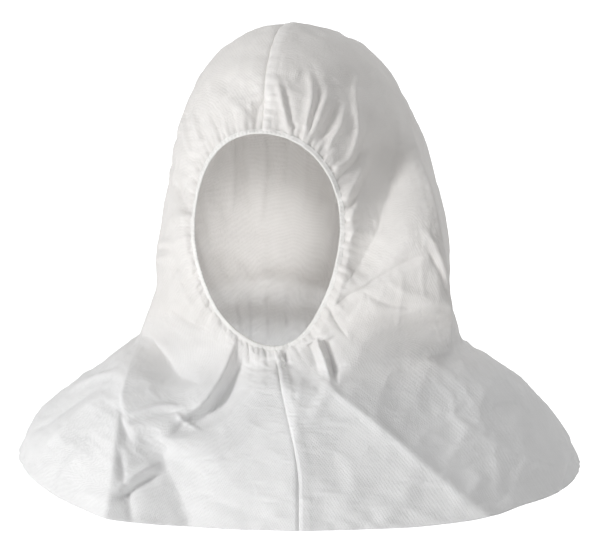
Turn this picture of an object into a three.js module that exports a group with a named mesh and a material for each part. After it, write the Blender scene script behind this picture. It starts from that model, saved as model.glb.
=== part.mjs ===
// Disposable protective hood with a shoulder cape, in millimetres, +Z up.
// The wearer faces -Y and the wearer's left is +X. The origin is where the inside of the crown
// rests on the top of the head. The hood is turned a little to the wearer's right on the cape.
import * as THREE from 'three';

// ---- Driving dimensions ----
const CLOTH = 1.6; // wall of the cloth panels
const GAP = 0.3; // clearance between pieces that touch
const HOOD_BREADTH = 302; // at the jaw, where the hood is widest
const HOOD_DEPTH = 280; // front to back at the cheeks
const CROWN_FORWARD = 48; // top of the crown, ahead of the turning axis
const NECK_DROP = 308; // crown to the bend between hood and cape, at the sides
const NECK_BREADTH = 320;
const NECK_DEPTH = 240;
const CAPE_BREADTH = 552; // hem, shoulder to shoulder
const CAPE_DEPTH = 376; // hem, chest to back
const SHOULDER_HEM_DROP = 420; // crown to the hem at the shoulders
const FRONT_HEM_DROP = 460; // crown to the hem on the chest
const BACK_HEM_DROP = 455; // crown to the hem on the back
const OPENING_WIDTH = 143;
const OPENING_HEIGHT = 204;
const OPENING_DROP = 96; // crown to the top of the face opening
const OPENING_EGG = 0.1; // how much narrower the opening is towards the chin
const HOOD_TURN = 16; // degrees, face to the wearer's right
const TURN_FADE_TOP = 255; // crown to where the turn starts to fade
const TURN_FADE_BOTTOM = 420; // crown to where the cape is straight again
const SEAM_ALLOWANCE = 8; // depth of the turned-in seam edges
const BINDING_CLOTH = 0.8; // wall of the folded binding strip
const BINDING_LEG = 4; // how far the strip reaches over the cloth
const ELASTIC_WIDTH = 2;
const THREAD = 1; // thickness of a thread run

// ---- Resolution ----
const COLUMNS = 24; // from the front seam round to the crown seam
const ROWS = 28; // from the face opening to the hem

// The flange may stand this far behind the cloth where the binding covers it.
const COVERED_FLANGE = 0.2;

// ---- Rings that shape the hood and the cape, from the crown down ----
// breadth, depth and drop are full sizes; forward moves a ring's middle ahead of the axis;
// frontFall and backFall lower a ring's front and back below its sides.
function hoodRing(breadth, depth, drop, forward, frontFall, backFall) {
  return {
    breadth: breadth * HOOD_BREADTH,
    depth: depth * HOOD_DEPTH,
    drop: drop * NECK_DROP,
    forward, frontFall, backFall, square: 2,
  };
}

function capeRing(breadth, depth, drop, fall) {
  const between = (a, b, share) => a + (b - a) * share;
  return {
    breadth: between(NECK_BREADTH, CAPE_BREADTH, breadth),
    depth: between(NECK_DEPTH, CAPE_DEPTH, depth),
    drop: between(NECK_DROP, SHOULDER_HEM_DROP, drop),
    forward: between(-14, -6, drop),
    frontFall: fall * (FRONT_HEM_DROP - SHOULDER_HEM_DROP),
    backFall: fall * (BACK_HEM_DROP - SHOULDER_HEM_DROP),
    square: 2 + 0.3 * drop,
  };
}

const rings = [
  hoodRing(0, 0, 0, CROWN_FORWARD, 0, 0), // crown
  hoodRing(0.53, 0.57, 0.095, 25, 2, -9), // cap
  hoodRing(0.7, 0.78, 0.215, 9, -4, -13), // temples
  hoodRing(0.8, 0.91, 0.345, -2, -8, -8), // brow
  hoodRing(0.87, 1, 0.49, -12, -6, -2), // eyes
  hoodRing(0.95, 1, 0.7, -13, -2, 2), // cheeks
  hoodRing(0.99, 0.9, 0.92, -14, 5, 7), // jaw
  capeRing(0, 0, 0, 0.2), // neck
  capeRing(0.26, 0.18, 0.185, 0.3), // collar
  capeRing(0.6, 0.51, 0.43, 0.5), // top of the shoulders
  capeRing(0.87, 0.8, 0.7, 0.75), // over the shoulders
  capeRing(1, 1, 1, 1), // hem
];

// Distance from the crown to each ring, along the side of the hood.
const reach = [0];
for (let i = 1; i < rings.length; i += 1) {
  const out = (rings[i].breadth - rings[i - 1].breadth) / 2;
  const down = rings[i].drop - rings[i - 1].drop;
  reach.push(reach[i - 1] + Math.hypot(out, down));
}
const HEM = reach[reach.length - 1];

// A ring value at distance s from the crown, on a smooth curve through all the rings. Past the
// crown the curve goes on mirrored: mirror is -1 for widths and 1 for heights and middles.
function ringValue(key, s, mirror) {
  const knot = (i) => (i < 0 ? -reach[-i] : reach[i]);
  const value = (i) => (i < 0 ? mirror * rings[-i][key] : rings[i][key]);
  const slope = (i) => (value(i + 1) - value(i)) / (knot(i + 1) - knot(i));
  const last = rings.length - 1;
  const tangent = (i) => {
    if (i === last) return slope(last - 1);
    const before = knot(i) - knot(i - 1);
    const after = knot(i + 1) - knot(i);
    return (slope(i) * before + slope(i - 1) * after) / (before + after);
  };
  let i = 0;
  while (i < last - 1 && s > reach[i + 1]) i += 1;
  const span = knot(i + 1) - knot(i);
  const t = (s - knot(i)) / span;
  const [t2, t3] = [t * t, t * t * t];
  return (2 * t3 - 3 * t2 + 1) * value(i) + (t3 - 2 * t2 + t) * span * tangent(i)
    + (3 * t2 - 2 * t3) * value(i + 1) + (t3 - t2) * span * tangent(i + 1);
}

// A point on the outside of the cloth: s from the crown, angle 0 at the front and rising to the
// wearer's left. The hood is still facing straight ahead here.
function onCloth(s, angle) {
  const [side, front] = [Math.sin(angle), Math.cos(angle)];
  const square = ringValue('square', s, 1);
  const corner = (Math.abs(side) ** square + Math.abs(front) ** square) ** (-1 / square);
  const fall = ringValue(front > 0 ? 'frontFall' : 'backFall', s, 1) * front ** 2 * (2 - front ** 2);
  return new THREE.Vector3(
    ringValue('breadth', s, -1) / 2 * side * corner,
    -ringValue('forward', s, 1) - ringValue('depth', s, -1) / 2 * front * corner,
    CLOTH - ringValue('drop', s, 1) - fall,
  );
}

// The cloth is laid out on a disc with the crown at its middle and the hem as its rim.
function onDisc(spot) {
  return onCloth(Math.hypot(spot.x, spot.y), Math.atan2(spot.x, -spot.y));
}

function outward(spot) {
  const step = 0.5;
  const across = onDisc({ x: spot.x + step, y: spot.y }).sub(onDisc({ x: spot.x - step, y: spot.y }));
  const along = onDisc({ x: spot.x, y: spot.y + step }).sub(onDisc({ x: spot.x, y: spot.y - step }));
  return across.cross(along).normalize();
}

// The value between low and high at which a rising function reaches zero.
function solve(rising, low, high) {
  for (let n = 0; n < 50; n += 1) {
    const middle = (low + high) / 2;
    if (rising(middle) < 0) low = middle;
    else high = middle;
  }
  return (low + high) / 2;
}

// ---- Face opening: an egg on the front of the hood ----
const frontDrop = (s) => CLOTH - onCloth(s, 0).z;
const openingTop = solve((s) => frontDrop(s) - OPENING_DROP, 0, HEM);
const openingBottom = solve((s) => frontDrop(s) - OPENING_DROP - OPENING_HEIGHT, 0, HEM);

// turn runs from 0 at the chin to PI at the forehead, on the wearer's left.
function openingSpot(turn) {
  const middle = (openingTop + openingBottom) / 2;
  const s = middle + (openingBottom - openingTop) / 2 * Math.cos(turn);
  const x = OPENING_WIDTH / 2 * Math.sin(turn) * (1 - OPENING_EGG * Math.cos(turn));
  const angle = solve((a) => onCloth(s, a).x - Math.abs(x), 0, Math.PI / 2) * Math.sign(x);
  return new THREE.Vector2(s * Math.sin(angle), -s * Math.cos(angle));
}

function hemSpot(turn) {
  return new THREE.Vector2(HEM * Math.sin(turn), -HEM * Math.cos(turn));
}

// Spots from the opening (row 0) to the hem. Row 1 is just clear of the binding.
function lineOfSpots(turn) {
  const [start, end] = [openingSpot(turn), hemSpot(turn)];
  const probe = 0.01;
  const speed = onDisc(start.clone().lerp(end, probe)).distanceTo(onDisc(start)) / probe;
  const clear = (BINDING_LEG + 1) / speed;
  const spots = [start];
  for (let row = 1; row <= ROWS; row += 1) {
    spots.push(start.clone().lerp(end, clear + (1 - clear) * (row - 1) / (ROWS - 1)));
  }
  return spots;
}

const turnAt = (column) => Math.PI * column / COLUMNS;
const lines = Array.from({ length: COLUMNS + 1 }, (_, column) => lineOfSpots(turnAt(column)));

// ---- Solids ----
// Turns the hood to the wearer's right, fading out down the cape.
function turned(point) {
  const share = THREE.MathUtils.smoothstep(-point.z, TURN_FADE_TOP, TURN_FADE_BOTTOM);
  const angle = -THREE.MathUtils.degToRad(HOOD_TURN) * (1 - share);
  return point.clone().applyAxisAngle(new THREE.Vector3(0, 0, 1), angle);
}

function solid(points, faces) {
  const placed = points.map(turned);
  let volume = 0;
  for (const [a, b, c] of faces) volume += placed[a].dot(placed[b].clone().cross(placed[c]));
  const out = volume > 0 ? faces : faces.map(([a, b, c]) => [a, c, b]);
  const geometry = new THREE.BufferGeometry().setFromPoints(placed);
  geometry.setIndex(out.flat());
  geometry.computeVertexNormals();
  return geometry;
}

// A strip of outlines joined in order: open strips are capped, and a loop joins its ends.
function sweep(outlines, loop) {
  const sides = outlines[0].length;
  const faces = [];
  const steps = loop ? outlines.length : outlines.length - 1;
  for (let i = 0; i < steps; i += 1) {
    const next = ((i + 1) % outlines.length) * sides;
    for (let k = 0; k < sides; k += 1) {
      const [a, b] = [i * sides + k, i * sides + (k + 1) % sides];
      const [c, d] = [next + k, next + (k + 1) % sides];
      faces.push([a, b, d], [a, d, c]);
    }
  }
  if (!loop) {
    const end = (outlines.length - 1) * sides;
    for (let k = 1; k < sides - 1; k += 1) {
      faces.push([0, k + 1, k], [end, end + k, end + k + 1]);
    }
  }
  return solid(outlines.flat(), faces);
}

// A panel is swept from the opening to the hem. Each row's outline runs along the outside from
// the front seam to the crown seam, turns in along the seam allowance, and comes back inside.
function panel(side) {
  const outlines = [];
  for (let row = 0; row <= ROWS; row += 1) {
    const allowance = row < 2 ? CLOTH + COVERED_FLANGE : SEAM_ALLOWANCE;
    const [outside, inside] = [[], []];
    for (let column = 0; column <= COLUMNS; column += 1) {
      const spot = lines[column][row];
      const [point, out] = [onDisc(spot), outward(spot)];
      const atSeam = column === 0 || column === COLUMNS;
      if (atSeam) {
        out.setX(0).normalize();
        point.setX(GAP / 2);
      }
      const shift = new THREE.Vector3(atSeam ? CLOTH : 0, 0, 0);
      const inner = point.clone().addScaledVector(out, -CLOTH).add(shift);
      if (atSeam) {
        const edge = point.clone().addScaledVector(out, -allowance);
        const backEdge = edge.clone().add(shift);
        if (column === 0) {
          outside.push(edge, point);
          inside.push(backEdge, inner);
        } else {
          outside.push(point, edge);
          inside.push(inner, backEdge);
        }
      } else {
        outside.push(point);
        inside.push(inner);
      }
    }
    const outline = [...outside, ...inside.reverse()];
    outlines.push(outline.map((p) => new THREE.Vector3(p.x * side, p.y, p.z)));
  }
  return gridSolid(outlines);
}

// Like sweep, but its two end faces follow the curved outline in matched pairs of points.
function gridSolid(outlines) {
  const sides = outlines[0].length;
  const faces = [];
  for (let i = 0; i < outlines.length - 1; i += 1) {
    for (let k = 0; k < sides; k += 1) {
      const [a, b] = [i * sides + k, i * sides + (k + 1) % sides];
      faces.push([a, b, b + sides], [a, b + sides, a + sides]);
    }
  }
  const end = (outlines.length - 1) * sides;
  for (let k = 0; k < sides / 2 - 1; k += 1) {
    const [a, b, c, d] = [k, k + 1, sides - 2 - k, sides - 1 - k];
    faces.push([a, c, b], [a, d, c], [end + a, end + b, end + c], [end + a, end + c, end + d]);
  }
  return solid(outlines.flat(), faces);
}

// A thread run beside a seam: across is its place beside the seam and depth its place behind
// the cloth's outside.
function seamThread(column, across, depth) {
  const corners = 6;
  const outlines = lines[column].slice(2).map((spot) => {
    const out = outward(spot).setX(0).normalize();
    const middle = onDisc(spot).setX(across).addScaledVector(out, -depth);
    return Array.from({ length: corners }, (_, k) => {
      const angle = 2 * Math.PI * k / corners;
      const offset = new THREE.Vector3(THREAD / 2 * Math.cos(angle), 0, 0);
      return middle.clone().add(offset).addScaledVector(out, THREAD / 2 * Math.sin(angle));
    });
  });
  return sweep(outlines, false);
}

// A ring round the face opening. Its section is given as [into the opening, outwards] points,
// measured from the outer edge of the cloth.
function openingRing(section) {
  const outlines = [];
  const count = COLUMNS * 2;
  for (let i = 0; i < count; i += 1) {
    const spotAt = (step) => openingSpot(Math.PI * step / COLUMNS - Math.PI);
    const spot = spotAt(i);
    const edge = onDisc(spot);
    const out = outward(spot);
    const along = onDisc(spotAt(i + 0.5)).sub(onDisc(spotAt(i - 0.5))).normalize();
    const into = along.clone().cross(out).normalize();
    const middle = onDisc(new THREE.Vector2(0, -(openingTop + openingBottom) / 2));
    if (into.dot(middle.clone().sub(edge)) < 0) into.negate();
    outlines.push(section.map(([d, n]) => edge.clone().addScaledVector(into, d).addScaledVector(out, n)));
  }
  return sweep(outlines, true);
}

function box(from, to, low, high) {
  return [[from, low], [to, low], [to, high], [from, high]];
}

// ---- Finishes ----
function finish(colour, roughness) {
  return new THREE.MeshStandardMaterial({ color: colour, roughness, metalness: 0 });
}
const hoodCloth = finish(0xe9e8e4, 0.9);
const bindingCloth = finish(0xf0efeb, 0.85);
const whiteThread = finish(0xf4f3f0, 0.6);
const whiteElastic = finish(0xdeddda, 0.75);

// ---- Assembly ----
const hood = new THREE.Group();
function add(name, geometry, material) {
  const mesh = new THREE.Mesh(geometry, material);
  mesh.name = name;
  hood.add(mesh);
}

add('left_panel', panel(1), hoodCloth);
add('right_panel', panel(-1), hoodCloth);

const flangeSide = GAP / 2 + CLOTH + GAP + THREAD / 2;
const seamDepth = SEAM_ALLOWANCE / 2;
const overEdge = SEAM_ALLOWANCE + GAP + THREAD / 2;
for (const [name, column] of [['crown_seam', COLUMNS], ['front_seam', 0]]) {
  add(`${name}_needle_thread`, seamThread(column, flangeSide, seamDepth), whiteThread);
  add(`${name}_lower_looper_thread`, seamThread(column, -flangeSide, seamDepth), whiteThread);
  add(`${name}_upper_looper_thread`, seamThread(column, 0, overEdge), whiteThread);
}

// The binding is a strip folded round the edge of the cloth, with the elastic in its fold.
const legTop = GAP + BINDING_CLOTH;
const legUnder = -(CLOTH + COVERED_FLANGE + GAP);
const legBottom = legUnder - BINDING_CLOTH;
const fold = GAP + ELASTIC_WIDTH + GAP;
add('face_binding', openingRing([
  [-BINDING_LEG, legTop], [-BINDING_LEG, GAP], [fold, GAP],
  [fold, legUnder], [-BINDING_LEG, legUnder], [-BINDING_LEG, legBottom],
  [fold, legBottom], [fold + BINDING_CLOTH, legUnder],
  [fold + BINDING_CLOTH, GAP], [fold, legTop],
]), bindingCloth);
add('face_elastic', openingRing(box(GAP, GAP + ELASTIC_WIDTH, legUnder + GAP, 0)), whiteElastic);

const stitchFrom = -BINDING_LEG / 2 - THREAD / 2;
const stitchTo = stitchFrom + THREAD;
add('binding_needle_thread',
  openingRing(box(stitchFrom, stitchTo, legTop + GAP, legTop + GAP + THREAD)), whiteThread);
add('binding_bobbin_thread',
  openingRing(box(stitchFrom, stitchTo, legBottom - GAP - THREAD, legBottom - GAP)), whiteThread);

export default hood;
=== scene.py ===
import math

import bpy
import numpy as np
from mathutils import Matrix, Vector, noise


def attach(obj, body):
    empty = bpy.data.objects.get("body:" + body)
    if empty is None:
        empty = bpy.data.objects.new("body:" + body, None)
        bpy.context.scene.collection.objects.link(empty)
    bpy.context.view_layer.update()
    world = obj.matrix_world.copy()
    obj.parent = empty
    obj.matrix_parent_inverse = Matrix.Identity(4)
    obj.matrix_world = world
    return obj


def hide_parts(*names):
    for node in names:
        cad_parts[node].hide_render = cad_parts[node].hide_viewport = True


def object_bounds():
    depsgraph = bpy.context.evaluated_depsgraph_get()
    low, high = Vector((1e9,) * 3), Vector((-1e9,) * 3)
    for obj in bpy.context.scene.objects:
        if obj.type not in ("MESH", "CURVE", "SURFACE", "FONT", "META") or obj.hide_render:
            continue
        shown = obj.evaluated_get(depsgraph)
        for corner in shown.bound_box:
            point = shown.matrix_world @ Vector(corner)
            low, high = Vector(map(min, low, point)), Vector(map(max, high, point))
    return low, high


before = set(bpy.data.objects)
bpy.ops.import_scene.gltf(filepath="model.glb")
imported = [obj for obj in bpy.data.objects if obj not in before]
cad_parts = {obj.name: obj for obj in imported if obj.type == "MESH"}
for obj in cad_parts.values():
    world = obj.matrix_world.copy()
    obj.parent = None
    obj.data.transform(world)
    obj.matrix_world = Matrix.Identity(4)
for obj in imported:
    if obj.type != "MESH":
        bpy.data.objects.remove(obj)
cad_low, cad_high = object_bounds()


# ---- The room ----
# A white studio with a large soft light on the left, weaker ones in front and high up behind,
# and a narrow lamp that lights the inside of the hood through the face opening. Floor and back
# wall are one pale sweep, far enough away to take no shadow.
VIEW_DISTANCE = 2.4
VIEW_HEIGHT = math.radians(8)
VIEW_AIM = Vector((0.001, 0.0, -0.2499))
VIEW_WIDTH = 0.588  # how much the camera takes in across the hood
SENSOR = 36.0
LIGHTS = [  # name, place, size, watts
    ("key_light", (-1.9, -1.45, 0.25), (0.6, 0.8), 28),
    ("front_light", (0.1, -2.6, -0.1), (0.3, 0.3), 2),
    ("top_light", (0.6, 0.45, 1.4), (0.8, 0.8), 6),
]
LAMP_PLACE = Vector((0.02, -2.6, -0.12))
LAMP_AIM = Vector((-0.038, 0, -0.218))
LAMP_WATTS = 118
LAMP_SPREAD = math.radians(3.35)
ROOM_LIGHT = 0.34  # of the white that the camera sees
PAPER_LIGHT = 0.18
PAPER_HALF_WIDTH = 6.0
PAPER_FRONT, PAPER_BEND_START, PAPER_BEND, PAPER_TOP = -5.0, 2.0, 1.2, 4.0
FLOOR_BELOW_HEM = 0.55
BEND_STEPS = 8

toward_viewer = Vector((0, -math.cos(VIEW_HEIGHT), math.sin(VIEW_HEIGHT)))
camera = bpy.data.objects.new("camera", bpy.data.cameras.new("camera"))
bpy.context.scene.collection.objects.link(camera)
camera.data.sensor_width = SENSOR
camera.data.lens = SENSOR * VIEW_DISTANCE / VIEW_WIDTH
camera.location = VIEW_AIM + toward_viewer * VIEW_DISTANCE
camera.rotation_euler = (math.pi / 2 - VIEW_HEIGHT, 0, 0)
bpy.context.scene.camera = camera
bpy.context.scene.view_settings.view_transform = "Standard"


def hung(light, place, aim):
    lamp = bpy.data.objects.new(light.name, light)
    lamp.location = place
    lamp.rotation_euler = (aim - Vector(place)).to_track_quat("-Z", "Y").to_euler()
    bpy.context.scene.collection.objects.link(lamp)


for name, place, size, watts in LIGHTS:
    softbox = bpy.data.lights.new(name, "AREA")
    softbox.shape = "RECTANGLE"
    softbox.size, softbox.size_y = size
    softbox.energy = watts
    hung(softbox, place, VIEW_AIM)
spot = bpy.data.lights.new("face_opening_light", "SPOT")
spot.energy = LAMP_WATTS
spot.spot_size = LAMP_SPREAD
spot.spot_blend = 1.0
spot.shadow_soft_size = 0.02
hung(spot, LAMP_PLACE, LAMP_AIM)


def lit_for_the_eye(tree, socket, seen, cast):
    """The room looks white, and casts less light than that on the hood."""
    path = tree.nodes.new("ShaderNodeLightPath")
    level = tree.nodes.new("ShaderNodeMapRange")
    level.inputs["To Min"].default_value = cast
    level.inputs["To Max"].default_value = seen
    tree.links.new(path.outputs["Is Camera Ray"], level.inputs["Value"])
    tree.links.new(level.outputs["Result"], socket)


world = bpy.data.worlds.new("white_room")
world.use_nodes = True
world.node_tree.nodes["Background"].inputs["Color"].default_value = (1, 1, 1, 1)
lit_for_the_eye(world.node_tree, world.node_tree.nodes["Background"].inputs["Strength"], 1.0,
                ROOM_LIGHT)
bpy.context.scene.world = world


def sweep_of_paper():
    floor_level = cad_low.z - FLOOR_BELOW_HEM
    profile = [(PAPER_FRONT, floor_level), (PAPER_BEND_START, floor_level)]
    for step in range(1, BEND_STEPS + 1):
        angle = math.pi / 2 * step / BEND_STEPS
        profile.append((PAPER_BEND_START + PAPER_BEND * math.sin(angle),
                        floor_level + PAPER_BEND * (1 - math.cos(angle))))
    profile.append((PAPER_BEND_START + PAPER_BEND, PAPER_TOP))
    points = [(x, y, z) for y, z in profile for x in (-PAPER_HALF_WIDTH, PAPER_HALF_WIDTH)]
    faces = [(2 * i, 2 * i + 1, 2 * i + 3, 2 * i + 2) for i in range(len(profile) - 1)]
    mesh = bpy.data.meshes.new("paper_sweep")
    mesh.from_pydata(points, [], faces)
    mesh.polygons.foreach_set("use_smooth", [True] * len(faces))
    paper = bpy.data.objects.new("paper_sweep", mesh)
    bpy.context.scene.collection.objects.link(paper)
    material = bpy.data.materials.new("paper")
    material.use_nodes = True
    shader = material.node_tree.nodes["Principled BSDF"]
    shader.inputs["Base Color"].default_value = (0.96, 0.96, 0.96, 1)
    shader.inputs["Roughness"].default_value = 0.9
    shader.inputs["Emission Color"].default_value = (1, 1, 1, 1)
    lit_for_the_eye(material.node_tree, shader.inputs["Emission Strength"], 1.0, PAPER_LIGHT)
    mesh.materials.append(material)


sweep_of_paper()


# ---- The two cloth panels ----
# Each half of the hood and cape is one cut piece of white spun-bonded cloth, from the face
# opening to the raw hem. The halves are sewn together over the crown and down the back, and
# below the chin down the chest.
HOOD_BREADTH, HOOD_DEPTH = 0.302, 0.280
CROWN_FORWARD = 0.048
NECK_DROP, NECK_BREADTH, NECK_DEPTH = 0.308, 0.320, 0.240
SHOULDER_HEM_DROP, FRONT_HEM_DROP, BACK_HEM_DROP = 0.420, 0.457, 0.455
CAPE_BREADTH = cad_high.x - cad_low.x
CAPE_DEPTH = cad_high.y - cad_low.y
OPENING_WIDTH, OPENING_HEIGHT, OPENING_DROP = 0.143, 0.204, 0.096
OPENING_EGG = 0.1
HOOD_TURN = math.radians(16)
TURN_FADE_TOP, TURN_FADE_BOTTOM = 0.255, 0.420
TIP_FALL = 0.012  # of the cape's corner on the wearer's left
TIP_START, TIP_WIDTH = 0.2, 0.08
CAPE_SQUARENESS = 0.2  # how much squarer than an ellipse the hem is
mm = 0.001


def between(a, b, share):
    return a + (b - a) * share


def hood_ring(breadth, depth, drop, forward, front_fall, back_fall):
    return (breadth * HOOD_BREADTH, depth * HOOD_DEPTH, drop * NECK_DROP,
            forward * mm, front_fall * mm, back_fall * mm, 2)


def cape_ring(breadth, depth, drop, fall):
    return (between(NECK_BREADTH, CAPE_BREADTH, breadth), between(NECK_DEPTH, CAPE_DEPTH, depth),
            between(NECK_DROP, SHOULDER_HEM_DROP, drop), between(-14, -6, drop) * mm,
            fall * (FRONT_HEM_DROP - SHOULDER_HEM_DROP),
            fall * (BACK_HEM_DROP - SHOULDER_HEM_DROP), 2 + CAPE_SQUARENESS * drop)


# breadth, depth, drop, forward, front fall, back fall and squareness of each ring, from the
# crown to the hem
RINGS = np.array([
    hood_ring(0, 0, 0, CROWN_FORWARD / mm, 0, 0),
    hood_ring(0.47, 0.57, 0.095, 25, 2, -9),
    hood_ring(0.65, 0.78, 0.215, 9, -4, -13),
    hood_ring(0.77, 0.91, 0.345, -2, -8, -8),
    hood_ring(0.85, 1, 0.49, -12, -6, -2),
    hood_ring(0.94, 1, 0.7, -13, -2, 2),
    hood_ring(0.99, 0.9, 0.92, -14, 5, 7),
    cape_ring(0, 0, 0, 0.2),
    cape_ring(0.23, 0.18, 0.185, 0.3),
    cape_ring(0.56, 0.51, 0.43, 0.5),
    cape_ring(0.84, 0.8, 0.7, 0.75),
    cape_ring(1, 1, 1, 1),
])
BREADTH, DEPTH, DROP, FORWARD, FRONT_FALL, BACK_FALL, SQUARE = range(7)
MIRROR = np.array([-1, -1, 1, 1, 1, 1, 1])  # how each value goes on past the crown
REACH = np.concatenate([[0], np.cumsum(np.hypot(np.diff(RINGS[:, BREADTH]) / 2,
                                                np.diff(RINGS[:, DROP])))])
HEM = REACH[-1]


def ring_values(s):
    knots = np.concatenate([[-REACH[1]], REACH])
    values = np.vstack([RINGS[1] * MIRROR, RINGS])
    span = np.diff(knots)
    slope = np.diff(values, axis=0) / span[:, None]
    tangent = np.vstack([slope[:1], (slope[1:] * span[:-1, None] + slope[:-1] * span[1:, None])
                         / (span[:-1] + span[1:])[:, None], slope[-1:]])
    i = np.clip(np.searchsorted(knots, s) - 1, 1, len(knots) - 2)
    t = ((s - knots[i]) / span[i])[..., None]
    h = span[i][..., None]
    return ((2 * t ** 3 - 3 * t ** 2 + 1) * values[i] + (t ** 3 - 2 * t ** 2 + t) * h * tangent[i]
            + (3 * t ** 2 - 2 * t ** 3) * values[i + 1] + (t ** 3 - t ** 2) * h * tangent[i + 1])


def on_cloth(s, angle):
    ring = np.moveaxis(ring_values(s), -1, 0)
    side, front = np.sin(angle), np.cos(angle)
    corner = (np.abs(side) ** ring[SQUARE] + np.abs(front) ** ring[SQUARE]) ** (-1 / ring[SQUARE])
    fall = np.where(front > 0, ring[FRONT_FALL], ring[BACK_FALL]) * front ** 2 * (2 - front ** 2)
    return np.stack([ring[BREADTH] / 2 * side * corner,
                     -ring[FORWARD] - ring[DEPTH] / 2 * front * corner,
                     -ring[DROP] - fall], -1)


def solve(rising, low, high):
    for _ in range(50):
        middle = (low + high) / 2
        below = rising(middle) < 0
        low, high = np.where(below, middle, low), np.where(below, high, middle)
    return (low + high) / 2


def opening_reach(drop):
    return float(solve(lambda s: -on_cloth(s, np.zeros_like(s))[..., 2] - drop,
                       np.array(0.0), np.array(HEM)))


OPENING_TOP = opening_reach(OPENING_DROP)
OPENING_BOTTOM = opening_reach(OPENING_DROP + OPENING_HEIGHT)


def opening_spots(turn):
    s = (OPENING_TOP + OPENING_BOTTOM) / 2 + (OPENING_BOTTOM - OPENING_TOP) / 2 * np.cos(turn)
    x = OPENING_WIDTH / 2 * np.sin(turn) * (1 - OPENING_EGG * np.cos(turn))
    angle = solve(lambda a: on_cloth(s, a)[..., 0] - np.abs(x), np.zeros_like(s),
                  np.full_like(s, math.pi / 2)) * np.sign(x)
    return np.stack([s * np.sin(angle), -s * np.cos(angle)], -1)


def turned(points):
    share = np.clip((-points[..., 2] - TURN_FADE_TOP) / (TURN_FADE_BOTTOM - TURN_FADE_TOP), 0, 1)
    angle = -HOOD_TURN * (1 - share ** 2 * (3 - 2 * share))
    x, y = points[..., 0].copy(), points[..., 1].copy()
    points = points.copy()
    points[..., 0] = x * np.cos(angle) - y * np.sin(angle)
    points[..., 1] = x * np.sin(angle) + y * np.cos(angle)
    at_tip = smooth((points[..., 0] - TIP_START) / TIP_WIDTH)
    points[..., 2] -= TIP_FALL * at_tip * smooth(share * 1.2 - 0.1)
    return points


COLUMNS = 225  # across one panel, apart from the close ones beside the seams
ROWS = 170  # from the face opening to the hem
ROW_CROWDING = 1.15  # rows lie closer near the opening
BESIDE_SEAM = (0.0015, 0.004)  # shares of a panel's width


def panel_turns():
    inner = np.linspace(0, 1, COLUMNS + 1)[1:-1]
    close = np.array(BESIDE_SEAM)
    return np.concatenate([[0], close, inner, 1 - close[::-1], [1]]) * math.pi


def cloth_grid(turn, share):
    start = opening_spots(turn)
    end = np.stack([HEM * np.sin(turn), -HEM * np.cos(turn)], -1)
    spots = start + (end - start) * share[:, None, None]
    return turned(on_cloth(np.hypot(spots[..., 0], spots[..., 1]),
                           np.arctan2(spots[..., 0], -spots[..., 1])))


def grid_normals(grid):
    wrapped = np.concatenate([grid[:, -2:-1], grid, grid[:, 1:2]], 1)
    normal = np.cross(np.gradient(grid, axis=0), wrapped[:, 2:] - wrapped[:, :-2])
    return normal / (np.linalg.norm(normal, axis=-1, keepdims=True) + 1e-12)


def smooth(x):
    x = np.clip(x, 0, 1)
    return x * x * (3 - 2 * x)


def seen_from_front(points):
    """Where points lie for someone who looks at the hood from the front, in millimetres on the
    plane through its middle: to the right, and up from the crown."""
    up = np.array([0, math.sin(VIEW_HEIGHT), math.cos(VIEW_HEIGHT)])
    offset = points - np.array(camera.location)
    depth = -(offset @ np.array(toward_viewer))
    flat = np.stack([offset[..., 0], offset @ up], -1) * (VIEW_DISTANCE / depth)[..., None]
    return (flat + np.array([VIEW_AIM.x, VIEW_AIM.z])) / mm


def eased(line, steps=6):
    """A smooth curve through the points of a line."""
    line = np.array(line, float)
    if len(line) < 3:
        return line
    ends = np.vstack([2 * line[0] - line[1], line, 2 * line[-1] - line[-2]])
    curve = [line[0]]
    for a, b, c, d in zip(ends, ends[1:], ends[2:], ends[3:]):
        for t in np.linspace(0, 1, steps + 1)[1:]:
            curve.append(0.5 * (2 * b + (c - a) * t + (2 * a - 5 * b + 4 * c - d) * t ** 2
                                + (3 * b - a - 3 * c + d) * t ** 3))
    return np.array(curve)


def along_line(places, line):
    """Signed distance to a line, positive on the left of its direction, and how far along it
    a place lies, from 0 to 1."""
    lengths = np.linalg.norm(np.diff(line, axis=0), axis=1)
    best = np.full(places.shape[:-1], 1e9)
    side = np.zeros_like(best)
    share = np.zeros_like(best)
    total = np.zeros_like(best)
    for i, length in enumerate(lengths):
        direction = (line[i + 1] - line[i]) / length
        offset = places - line[i]
        t = np.clip(offset @ direction, 0, length)
        distance = np.linalg.norm(offset - t[..., None] * direction, axis=-1)
        cross = direction[0] * offset[..., 1] - direction[1] * offset[..., 0]
        side = np.where(distance < best, np.sign(cross), side)
        best = np.minimum(distance, best)
        weight = (distance + 2) ** -9.0
        share += weight * (lengths[:i].sum() + t) / lengths.sum()
        total += weight
    return best * side, share / total


def fold_heights(places, facing, folds):
    """Height of the cloth over its plain shape. A fold is its rise, its width on the left and
    right of the line, its roundness, how soon it rises and fades (0: it does not), and its
    line."""
    height = np.zeros(places.shape[:-1])
    for rise, left, right, roundness, start, end, line in folds:
        distance, share = along_line(places, eased(line))
        ends = smooth(share / start) if start else 1
        ends = ends * (smooth((1 - share) / end) if end else 1)
        width = np.where(distance > 0, left, right) * (0.35 + 0.65 * ends)
        height += rise * np.exp(-(np.abs(distance) / width) ** roundness) * ends
    return height * facing * mm


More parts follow.
